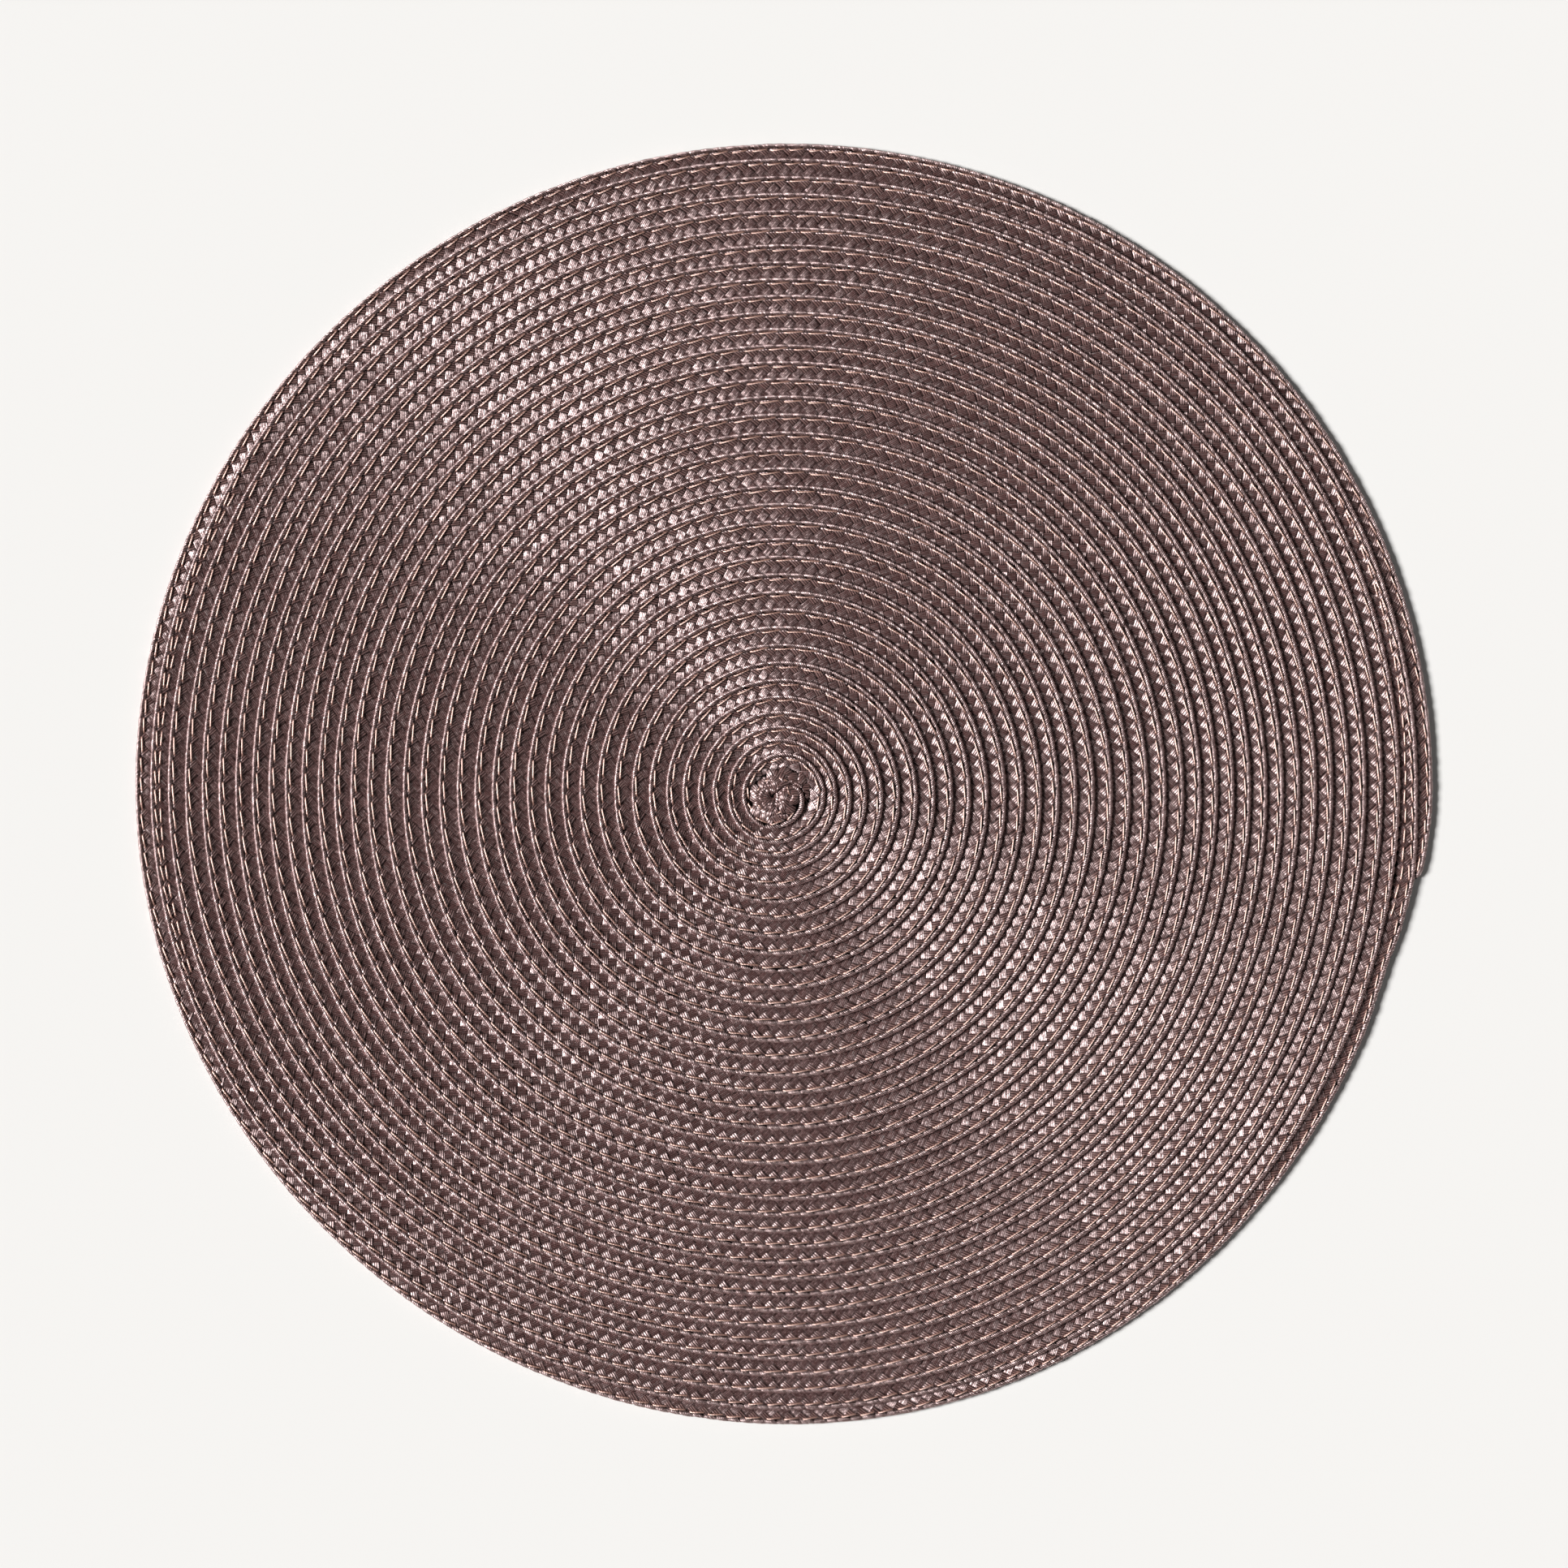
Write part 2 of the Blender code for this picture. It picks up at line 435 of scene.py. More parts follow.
# Painted shade: the colour in the creases between yarn ends, and of the core sheet that shows only
# in gaps.
YARN_PAINTED_SHADE = (0.012, 0.0055, 0.0052, 1.0)
YARN_BODY = (0.063, 0.0285, 0.0268, 1.0)
YARN_PALE = (0.112, 0.060, 0.056, 1.0)
YARN_SHEEN = (1.0, 0.82, 0.78, 1.0)
YARN_GLOSS = (1.0, 0.77, 0.755, 1.0)
# Painted light: a paler copy of the yarn's colour, for the rolled edge, the shoulders and the
# gathers.
LIT_YARN_BODY = (0.098, 0.049, 0.046, 1.0)
LIT_YARN_PALE = (0.190, 0.110, 0.098, 1.0)
THREAD_BODY = (0.38, 0.19, 0.145, 1.0)
# Painted shade in the creases between the thread's plies.
THREAD_PAINTED_SHADE = (0.14, 0.065, 0.045, 1.0)
THREAD_GLOSS = (1.0, 0.76, 0.68, 1.0)
TWIST = math.radians(2.5)  # the filaments' lean in a yarn end
THREAD_TWIST = math.radians(24.0)  # and in the sewing thread
END_ROUND = 0.85  # how far an end's normal leans at its sides
END_ROUND_FLAT = 0.6  # the same in the plait, where the ends lie flatter
FILAMENT_ROUND = 0.15  # and how far the filaments in it do
TONE_SEED = 977.0  # keeps the noises of two pieces of ribbon apart
END_SEED = 7.3  # and those of two ends
LANE_DRIFT = 0.12  # how far an end strays sideways
DRIFT_SCALE = 0.5
FILAMENTS_ALONG = 0.9  # the scale of the filaments' streaks, along them and across
FILAMENTS_ACROSS = 7.0
NOISE_LOW = 0.3  # most of a noise lies between these
NOISE_HIGH = 0.7
# Off the middle of an end, as shares of its width: where its crease starts, and is deepest. The
# crease has painted shade in its colour, and more roughness.
CREASE_WIDE = 0.14
CREASE_MIDDLING = 0.2
CREASE_NARROW = 0.26
CREASE_DEEP = 0.46
# What lightens the yarn's own colour: its filaments, its ends' luck and its piece's tone.
FILAMENT_TINT = 0.8
LUCK_TINT = 0.5
TINT_START = -0.25
TONE_SHADE = 0.35
TONE_START = 0.82
YARN_ROUGHNESS = 0.48
CREASE_ROUGHNESS = 0.2  # more in the creases
LUCK_ROUGHNESS = 0.10  # and more in some ends
SIDES_START = 1.0  # across a crossing from its middle: where its sides turn down, and where their painted shade starts
SIDES_SHADE = 0.4
DIVE_START = 0.95  # along a crossing from its middle: where it dips under its neighbours, and where its painted shade starts
DIVE_SHADE = 0.05
ROLL_TOP = -0.3  # along the yarn that turns over the edge: its outer side ends here
ROLL_FOOT = 0.4  # and its inner side, of separate beads, starts here
ROLL_DIVE = (0.85, 1.3)  # and it dips beside the stitches between these, where it gets painted shade
ROLL_DIVE_SHADE = 0.35
OUTER_SHINE = 0.35  # what its outer side has more of: shine, bright spells, and painted light in its colour
OUTER_SPELLS = 0.3
OUTER_PAINTED_LIGHT = 0.5
# painted shade in the inner side's colour
INNER_PAINTED_SHADE = 0.65


class Yarn(Nodes):
    """Twisted filament yarn, its ends side by side: round, satin, and each a little different."""

    def __init__(self, name, crease_start, end_width=END_WIDTH):
        super().__init__(name)
        self.along, self.across = self.strands()
        self.tone = self.add("ShaderNodeAttribute", attribute_name="tone").outputs["Fac"]
        self.seed = self.times(self.tone, TONE_SEED)
        drift = self.noise(self.vector(self.along, self.across, self.seed), DRIFT_SCALE, 1.0)
        drift = self.line(drift, 2.0 * LANE_DRIFT, -LANE_DRIFT)
        lane = self.math("DIVIDE", self.math("ADD", self.across, drift), end_width)
        self.end = self.math("FLOOR", lane)
        self.side = self.math("SUBTRACT", self.math("SUBTRACT", lane, self.end), 0.5)
        self.luck = self.random(self.vector(self.end, self.seed))
        self.crease = self.creased(crease_start)
        self.filament = self.filaments()

    def creased(self, start):
        """0 over an end's middle, and 1 in the crease between two ends."""
        return self.span(self.math("ABSOLUTE", self.side), start, CREASE_DEEP)

    def turned(self, along, across, angle):
        """along times the cosine, plus across times the sine."""
        return self.line(along, math.cos(angle), self.times(across, math.sin(angle)))

    def filaments(self):
        """Fine streaks that run with the filaments."""
        with_them = self.turned(self.along, self.across, TWIST)
        over_them = self.turned(self.across, self.along, -TWIST)
        x = self.times(with_them, FILAMENTS_ALONG)
        y = self.times(over_them, FILAMENTS_ACROSS)
        return self.span(self.noise(self.vector(x, y, self.seed), 1.0), NOISE_LOW, NOISE_HIGH)

    def sides(self):
        """1 over a ribbon, with painted shade at its two sides."""
        off_middle = self.math("ABSOLUTE", self.math("SUBTRACT", self.across, END_WIDTH / 2.0))
        return self.span(off_middle, SIDES_START, HALF_WIDTH, 1.0, SIDES_SHADE)

    def painted_dive_shade(self, along):
        """1 along a ribbon, and falling to painted shade at the end that dips under its neighbours.
        """
        return self.span(along, DIVE_START, FULL, 1.0, DIVE_SHADE)

    def beads(self, low, high, often=1.7):
        """Bright and dull spells along each end."""
        x = self.times(self.along, often)
        y = self.times(self.end, END_SEED)
        spells = self.noise(self.vector(x, y, self.seed), 1.0, 1.0)
        return self.span(spells, NOISE_LOW, NOISE_HIGH, low, high)

    def shine(self, luck, creased, least, by_filament, by_luck, dulled=0.97):
        """How strongly the yarn shines: unevenly, and little in its creases."""
        shine = self.line(luck, by_luck, self.line(self.filament, by_filament, least))
        return self.times(shine, self.line(creased, -dulled, 1.0))

    def colour(self, dark, body, pale, creased, painted_shading):
        """The yarn's own colour, with painted shade in its creases, and the painted light and shade
        of the factor that it is given.
        """
        bright = self.line(self.filament, FILAMENT_TINT, TINT_START)
        bright = self.line(self.luck, LUCK_TINT, bright)
        colour = self.blend(creased, self.blend(bright, body, pale), dark)
        return self.scaled(colour, self.times(self.line(self.tone, TONE_SHADE, TONE_START), painted_shading))

    def round_ends(self, most):
        """Leans the normals over each end, and a little over each filament."""
        lean = self.times(self.side, 2.0 * most)
        micro = self.line(self.filament, 2.0 * FILAMENT_ROUND, -FILAMENT_ROUND)
        across_lean = self.line(micro, math.cos(TWIST), lean)
        along_lean = self.times(micro, -math.sin(TWIST))
        self.tilt(along_lean, across_lean, self.upright(lean))

    def satin(self, colour, shine, roughness, anisotropic):
        """The shader that all the yarns share. Its gloss runs along the filaments."""
        self.set(Base_Color=colour, Specular_IOR_Level=shine, Specular_Tint=YARN_GLOSS)
        self.set(Roughness=roughness, IOR=3.5)
        self.set(Sheen_Weight=0.04, Sheen_Roughness=0.4, Sheen_Tint=YARN_SHEEN)
        self.set(Anisotropic=anisotropic, Anisotropic_Rotation=0.25 + TWIST / math.tau)
        self.follow_strands()
        return self.material


def yarn_material(name, dark, body, pale, gloss=1.0):
    """The plait's yarn: some ends and spells catch the light, and its tucked ends and sides get
    painted shade.
    """
    n = Yarn(name, CREASE_NARROW)
    # Painted shade where a crossing dips under its neighbours and at its sides, in colour and in
    # shine.
    painted_shading = n.times(n.painted_dive_shade(n.math("ABSOLUTE", n.along)), n.sides())
    luckier = n.times(n.luck, n.luck)
    shine = n.shine(luckier, n.crease, least=0.08 * gloss, by_filament=0.6 * gloss, by_luck=gloss)
    shine = n.times(shine, painted_shading, n.beads(low=0.25, high=1.4))
    rough = n.line(n.crease, CREASE_ROUGHNESS, YARN_ROUGHNESS)
    rough = n.line(n.luck, LUCK_ROUGHNESS, rough)
    n.round_ends(END_ROUND_FLAT)
    colour = n.colour(dark, body, pale, n.crease, painted_shading)
    return n.satin(colour, shine, rough, anisotropic=0.95)


def shoulder_material():
    """The yarn beside the rolled edge, pulled taut and even by the stitches."""
    n = Yarn("braid_shoulder", CREASE_MIDDLING, SHOULDER_END_WIDTH)
    # Painted shade where the crossing dips under its neighbour, in colour and in shine.
    painted_shading = n.painted_dive_shade(n.along)
    shine = n.shine(n.luck, n.crease, least=0.12, by_filament=0.3, by_luck=0.4, dulled=0.93)
    shine = n.times(shine, painted_shading, n.beads(low=0.6, high=1.2))
    n.round_ends(END_ROUND)
    # The shoulder's paler colour is painted light.
    colour = n.colour(YARN_PAINTED_SHADE, LIT_YARN_BODY, LIT_YARN_PALE, n.crease, painted_shading)
    return n.satin(colour, shine, roughness=0.50, anisotropic=0.95)


def edge_material():
    """The yarn that turns over the edge: bright outside, with painted light there, and separate
    beads inside, with painted shade.
    """
    n = Yarn("braid_edge", CREASE_WIDE)
    outer = n.span(n.along, ROLL_TOP, ROLL_FOOT, 1.0, 0.0)
    creased = n.blend(outer, n.crease, n.creased(CREASE_NARROW))
    # Painted shade where the yarn dips beside the stitches, in colour and in shine.
    painted_foot_shade = n.span(n.along, *ROLL_DIVE, 1.0, ROLL_DIVE_SHADE)
    shine = n.shine(n.luck, creased, least=0.05, by_filament=0.4, by_luck=0.55)
    spells = n.line(outer, OUTER_SPELLS, n.beads(low=0.2, high=1.7, often=2.6))
    shine = n.times(shine, n.line(outer, OUTER_SHINE, 1.0), painted_foot_shade, spells)
    # Painted light on the outer side, and painted shade on the inner side and in the dip.
    painted_shading = n.times(painted_foot_shade, n.line(outer, OUTER_PAINTED_LIGHT, INNER_PAINTED_SHADE))
    n.round_ends(END_ROUND)
    # The edge's paler colour is painted light.
    colour = n.colour(YARN_PAINTED_SHADE, LIT_YARN_BODY, LIT_YARN_PALE, creased, painted_shading)
    return n.satin(colour, shine, roughness=0.54, anisotropic=0.5)


PLIES_ALONG = 1.25  # turns of the sewing thread's plies for each millimetre along it
PLIES_ACROSS = 0.8  # and round it
PLY_CREASE = (0.25, 0.5)  # off a ply's middle, as shares of its width: where its painted shade starts, and is darkest
PLY_ROUND = 0.3


def thread_material():
    """Hard sewing thread: two plies, so that it looks beaded, with painted shade in the creases
    between them.
    """
    n = Nodes("sewing_thread")
    along, across = n.strands()
    plies = n.line(along, PLIES_ALONG, n.times(across, PLIES_ACROSS))
    side = n.math("SUBTRACT", n.math("FRACT", plies), 0.5)
    crease = n.span(n.math("ABSOLUTE", side), *PLY_CREASE)
    n.set(Base_Color=n.blend(crease, THREAD_BODY, THREAD_PAINTED_SHADE), Roughness=0.55)
    lean = n.times(side, PLY_ROUND)
    n.tilt(lean, 0.0, n.upright(lean))
    n.set(IOR=3.0, Specular_Tint=THREAD_GLOSS, Specular_IOR_Level=1.0)
    n.set(Anisotropic=0.9, Anisotropic_Rotation=0.25 + THREAD_TWIST / math.tau)
    n.follow_strands()
    return n.material


# -------- the tape

BODY_ACROSS = (-0.6, 0.1, 0.7, 1.3, 2.25, 3.0, 6.0, 7.6)  # over the top, from the outer edge in
BODY_SINK = 0.2  # the sheet lies this far under the plait's middle surface
BODY_UNDER = ((6.2, 0.05), (4.2, 0.15), (1.3, 1.0))  # (inward, height) along the underside
BODY_RIM_SINK = 0.9  # along the rim the underside sinks by this share, and rises by this height
BODY_RIM_HEIGHT = 0.1
BODY_STEP = 8.0
FEWEST_BODY_STEPS = 36.0  # in a turn
MOST_BODY_STEPS = 120.0
BODY_END_GAP = 0.7  # in the strand map, from one line of the sheet's points to the next
BODY_TONE = 0.3


def body_turns():
    """Turn numbers along the tape, close enough together for smooth circles."""
    turns = [BODY_TURN]
    while turns[-1] < WOUND_TURNS:
        steps = math.tau * edge_radius(turns[-1]) / BODY_STEP
        turns.append(turns[-1] + 1.0 / min(max(steps, FEWEST_BODY_STEPS), MOST_BODY_STEPS))
    turns[-1] = WOUND_TURNS
    return np.array(turns)


def add_tape(material):
    """The tape as one closed sheet along the whole winding."""
    turn = body_turns()[:, None]
    run = np.interp(turn, TURNS, RUNS)
    top = on_tape(run, np.array(BODY_ACROSS)[None], -BODY_SINK)
    under_in, under_up = (np.array(row)[None] for row in zip(*BODY_UNDER))
    rim = at_rim(turn)
    under_up = under_up * (1.0 - BODY_RIM_SINK * rim) + BODY_RIM_HEIGHT * rim
    under = to_world(turn, edge_radius(turn) - under_in, under_up)
    rings = np.concatenate([top, under], axis=1)
    across = np.arange(rings.shape[1])[None] * BODY_END_GAP
    return add_sheet("tape", rings, run, across, material)


def add_sheet(name, rings, along, across, material):
    """One closed sheet through a row of rings of points, with both its ends closed."""
    rows, columns = rings.shape[:2]
    faces = grid_faces(rows, columns, closed=True)
    strands = np.stack(np.broadcast_arrays(along, across), axis=-1)
    tone = np.full(rows * columns, BODY_TONE)
    piece = add_piece(name, rings, faces, material, strands, tone)
    close_ends(piece.data, rows, columns)
    return piece


def close_ends(mesh, rows, columns):
    """Adds the faces that close a sheet's first and last rings."""
    bm = bmesh.new()
    bm.from_mesh(mesh)
    bm.verts.ensure_lookup_table()
    for start in (0, (rows - 1) * columns):
        bm.faces.new([bm.verts[start + column] for column in range(columns)])
    bmesh.ops.recalc_face_normals(bm, faces=bm.faces[:])
    bm.to_mesh(mesh)
    bm.free()


# -------- the plait

LAST_CROSSING = 0.9  # no crossing's middle is nearer than this to the tape's end
GROOVE_STOP = 0.3  # along a groove's crossing: the next turn's edge hides it past here
# A shoulder crossing's points: how far in from its middle, and how far along the tape there.
SHOULDER_LEVELS = (-0.75, -0.45, 0.1, 0.95, 1.85)
SHOULDER_SHARES = (0.0, 0.14, 0.5, 0.76, 1.0)
SHOULDER_TUCK = 0.42  # under its neighbour
SHOULDER_TUCK_OUTSIDE = 0.1
# How unlike each other the crossings are.
CROSSING_TURN = 0.045  # in radians
CROSSING_ALONG = 0.06
CROSSING_ACROSS = 0.05
CROSSING_SWELL = 0.12  # as a share of its arch
CROSSING_LIFT = 0.03
# Across the tape, between these the crossings dip under the rolled edge.
EDGE_DIP = 0.5
EDGE_DIP_START = 2.35
EDGE_DIP_END = 2.0

rng = np.random.default_rng(SEED)


def along_strand(x, y, over):
    """Swaps a place beside a crossing's middle between (on the tape's run, in across the tape)
    and (along, across) the ribbon that lies on top there."""
    if over == "out":
        return (x - y) / math.sqrt(2.0), (-x - y) / math.sqrt(2.0)
    return (x + y) / math.sqrt(2.0), (x - y) / math.sqrt(2.0)


def diamond(over, stop, steps):
    """Grid points over a crossing's upper ribbon, cut square across it."""
    places = np.linspace(-FULL, stop, steps)
    return along_strand(*np.meshgrid(places, LANES, indexing="ij"), over)


def triangle():
    """Grid points over the inner half of a crossing, down to the crease of the rolled edge."""
    level = np.array(SHOULDER_LEVELS)[:, None]
    share = np.array(SHOULDER_SHARES)[None]
    half = CELL / 2.0 - np.maximum(level, 0.0)
    tuck = np.where(level > 0.0, SHOULDER_TUCK, SHOULDER_TUCK_OUTSIDE)
    return -half + share * (2.0 * half + tuck), level + 0.0 * share


# Rows of crossings: which set lies over, the grid of one crossing, how high its crown is, and
# whether its ends swing across the tape when it is turned.
Row = namedtuple("Row", "name number over grid crown swing")
ROWS = (
    Row("shoulder", 1, "in", triangle(), 0.13, 0.0),
    Row("tread", 2, "out", diamond("out", FULL, 5), 0.06, 1.0),
    Row("groove", 3, "in", diamond("in", GROOVE_STOP, 3), 0.12, 1.0),
)
BANDS = ((FLAT_TURN, 20.0), (20.0, 29.5), (29.5, WOUND_TURNS))


def crossing_runs(row_number, first_turn, last_turn):
    """Where a row's crossings lie along the tape, between two turns."""
    low, high = np.interp((first_turn, last_turn), TURNS, RUNS)
    high = min(high, TAPE_LENGTH - LAST_CROSSING)
    shift = CELL / 2.0 * (row_number % 2)
    start = math.ceil((low - shift) / CELL)
    end = math.ceil((high - shift) / CELL)
    return np.arange(start, end) * CELL + shift


def scatter(count, size):
    """One seeded random number for each crossing."""
    return rng.normal(0.0, size, (count, 1, 1))


def add_patches(name, points, along, across, material):
    """Like grids of points as one mesh, with their strand map and a tone for each."""
    count, rows, columns = points.shape[:3]
    faces = repeated(grid_faces(rows, columns), count, rows * columns)
    strands = np.stack(np.broadcast_arrays(along, across + END_WIDTH / 2.0), axis=-1)
    strands = np.broadcast_to(strands, (count, rows, columns, 2))
    tone = np.broadcast_to(rng.random((count, 1)), (count, rows * columns))
    return add_piece(name, points, faces, material, strands, tone)


def add_crossings(row, band, band_number, material):
    """One row's crossings over some turns, each a short arched stretch of ribbon."""
    run = crossing_runs(row.number, *band)
    count = len(run)
    x, y = row.grid
    along, across = along_strand(x, y, row.over)
    turned = scatter(count, CROSSING_TURN)
    run_at = run[:, None, None] + x + y * turned + scatter(count, CROSSING_ALONG)
    across_at = ROW_START + row.number * ROW_STEP + y + scatter(count, CROSSING_ACROSS)
    across_at = across_at - row.swing * x * turned
    sides = SIDE_DROP * between(np.abs(across), SIDE_DROP_START, HALF_WIDTH)
    arch = row.crown * np.cos(math.pi * along / RIBBON) - (sides + SIDE_BOW * across ** 2)
    dip = EDGE_DIP * between(across_at, EDGE_DIP_START, EDGE_DIP_END)
    lift = arch * (1.0 + scatter(count, CROSSING_SWELL)) + scatter(count, CROSSING_LIFT) - dip
    points = on_tape(run_at, across_at, lift)
    return add_patches(f"plait_{row.name}_{band_number}", points, along, across, material)


WRAP_LEAN = math.radians(-58.0)  # between the rolled edge and the yarn that turns over it
WRAP_SQUEEZE = 1.05  # the ends lie this much closer together there
WRAP_ACROSS = np.array([-0.5, 0.35, 1.0, 1.6, 2.15])[:, None]  # over the rolled edge
WRAP_LIFT = np.array([-0.02, 0.0, 0.03, 0.0, -0.14])[:, None]
WRAP_LANES = np.array([-1.9, -1.5, 0.0, 1.5, 1.9])[None]
WRAP_DROP = np.array([-0.26, -0.03, 0.06, -0.03, -0.26])[None]
WRAP_BULGE = np.array([0.0, 0.0, 0.05, 0.14, 0.22])[:, None]  # beside the gaps between stitches
# How unlike each other these ribbons are.
WRAP_ALONG = 0.06
WRAP_SIDEWAYS = 0.03
WRAP_UNEVEN = 0.035


def add_wraps(band, band_number, material):
    """The ribbons that turn over the tape's outer edge, side by side, as one rolled ridge."""
    run = crossing_runs(0, *band)
    count = len(run)
    slant = (ROW_START - WRAP_ACROSS) / math.tan(WRAP_LEAN)
    run_at = run[:, None, None] + WRAP_LANES + slant + scatter(count, WRAP_ALONG)
    across_at = WRAP_ACROSS + 0.0 * WRAP_LANES + scatter(count, WRAP_SIDEWAYS)
    lift = WRAP_LIFT + WRAP_DROP + WRAP_BULGE * between_stitches(run_at)
    lift = lift + scatter(count, WRAP_UNEVEN)
    points = on_tape(run_at, across_at, lift)
    along = (ROW_START - WRAP_ACROSS) / math.sin(WRAP_LEAN) + 0.0 * WRAP_LANES
    across = WRAP_LANES * math.sin(WRAP_LEAN) * WRAP_SQUEEZE + 0.0 * slant
    return add_patches(f"plait_edge_{band_number}", points, along, across, material)


# -------- the gathered middle

HOLE_X = -3.52
HOLE_Y = -3.57
HOLE_RADIUS = 0.55
# How far inside the tape's edge the gathers end, by the turn.
GATHER_TURNS = (0.7, 1.15, 1.4)
GATHER_INWARD = (1.6, 1.6, 4.4)
GATHER_AROUND = 1.15  # turns, once round the hole
GATHER_POINTS = 400
GATHER_RISE = 0.4  # from this share of the way out, their height goes over to the tape's
FUNNEL_OUT = (0.0, 0.35, 1.1, 2.5)  # out from the hole's rim
FUNNEL_HEIGHT = (1.0, 1.7, 2.25, 2.5)
# The tape's own start, where its edge comes out of the hole: (distance, clockwise angle) from it.
GAP_DISTANCES = (0.5, 5.0, 7.5, 9.3, 10.2, 14.5)
GAP_ANGLES = np.radians((-38.0, -38.5, -26.0, -2.0, 12.0, 17.0))
GAP_DEPTH = 1.0
GAP_ROLL = 0.25  # the start's edge rolls down over this distance
GAP_TUCK = 0.7  # and the gathers dip under it over this one
# Rings of gathered folds, each ring's folds as wide and as long as the next one's.
FOLD_DISTANCES = (1.5, 3.1, 4.8, 6.5, 8.2, 9.9, 11.6, 13.3)  # of their middles from the hole's
FOLD_REACH = 1.6  # half a fold's length
FOLD_SPACING = 1.75
FOLD_POINTS = (7, 5)  # along a fold and across it
FOLD_LEAN = 0.5  # how far a fold swings sideways over half its length, by turns both ways
FOLD_SWELL = 0.50
FOLD_WIDTH = 0.70  # half of it, as a share of the folds' spacing
FOLD_ROLL = 0.30  # how far a fold leans over its neighbour, up or down at its sides
FOLD_OUT = 0.9  # the last ones' middles lie this far inside the gathers' end, or further
FOLD_INNERMOST = 0.3  # no fold comes nearer than this to the hole's middle
FOLD_ENDS = 3.4  # yarn ends across a fold
FOLD_TURN = 0.4  # how far the yarn in a fold is turned off the fold, in radians
FOLD_SIDES = 0.8  # how far its sides turn down, as a share of how far its ends do
# How unlike each other the folds are.
FOLD_SHIFT = 0.10  # round the hole, as a share of their spacing
FOLD_OUTWARD = 0.12
FOLD_LONGER = 0.1  # as a share of their length
FOLD_WIDER = 0.1  # and of their width
FOLD_LEANING = 0.3
FOLD_LIFT = 0.10


def gathers_end(angle):
    """How far out from the hole the gathers end at a clockwise angle, and how high."""
    turn = np.linspace(BODY_TURN, BODY_TURN + GATHER_AROUND, GATHER_POINTS)
    inward = np.interp(turn, GATHER_TURNS, GATHER_INWARD)
    height = tape_height(inward, turn, height_at(inward))
    x, y, height = to_world(turn, edge_radius(turn) - inward, height).T / MM
    around = np.unwrap(np.arctan2(-(y - HOLE_Y), x - HOLE_X))
    distance = np.hypot(x - HOLE_X, y - HOLE_Y)
    return np.interp(angle, around, distance), np.interp(angle, around, height)


def on_gathers(angle, distance, lift):
    """Points on the gathered middle: a clockwise angle and a distance from the hole, and up."""
    reach, rim = gathers_end(angle)
    gap = np.interp(distance, GAP_DISTANCES, GAP_ANGLES)
    angle = np.clip(angle, gap, gap + math.tau)
    funnel = np.interp(distance - HOLE_RADIUS, FUNNEL_OUT, FUNNEL_HEIGHT)
    height = funnel + (rim - funnel) * between(distance / reach, GATHER_RISE, 1.0)
    from_start = (angle - gap) * distance
    height = height - GAP_DEPTH * (1.0 - between(from_start, 0.0, GAP_ROLL))
    to_start = (gap + math.tau - angle) * distance
    height = height - GAP_DEPTH * (1.0 - between(to_start, 0.0, GAP_TUCK))
    x = HOLE_X + distance * np.cos(angle)
    y = HOLE_Y - distance * np.sin(angle)
    height = np.maximum(height + lift, LEAST_HEIGHT)
    return np.stack(np.broadcast_arrays(x, y, height), axis=-1) * MM


GRID_PASSES = 6  # the angles and the distances go by each other, and these settle them


def gathers_grid(share, out):
    """Angles and distances that go once round the hole, from the tape's start to under it."""
    angle = math.tau * share
    for _ in range(GRID_PASSES):
        distance = HOLE_RADIUS + out * (gathers_end(angle)[0] - HOLE_RADIUS)
        gap = np.interp(distance, GAP_DISTANCES, GAP_ANGLES)
        angle = math.tau * share + gap * np.cos(math.pi * share) ** 2
    return angle, distance


ROSETTE_TOP = -0.08  # of the sheet under the folds, from the gathers' middle surface
ROSETTE_UNDER = -0.8
ROSETTE_RINGS = 15
ROSETTE_REACH = 9.0  # its size in the strand map, outwards and round
ROSETTE_AROUND = 60.0


def add_rosette(material):
    """The cloth of the gathered middle, as one closed sheet round the hole."""
    at_start = np.linspace(0.0, 0.02, 6)  # closer together where the tape's start rolls down
    share = np.concatenate([at_start, np.linspace(0.03, 1.0, 98)])[:, None]
    out = np.linspace(0.0, 1.0, ROSETTE_RINGS)[None]
    angle, distance = gathers_grid(share, out)
    top = on_gathers(angle, distance, ROSETTE_TOP)
    under = on_gathers(angle, distance, ROSETTE_UNDER)[:, ::-1]
    rings = np.concatenate([top, under], axis=1)
    outward = np.concatenate([out, out[:, ::-1]], axis=1) * ROSETTE_REACH
    return add_sheet("rosette", rings, outward, share * ROSETTE_AROUND, material)


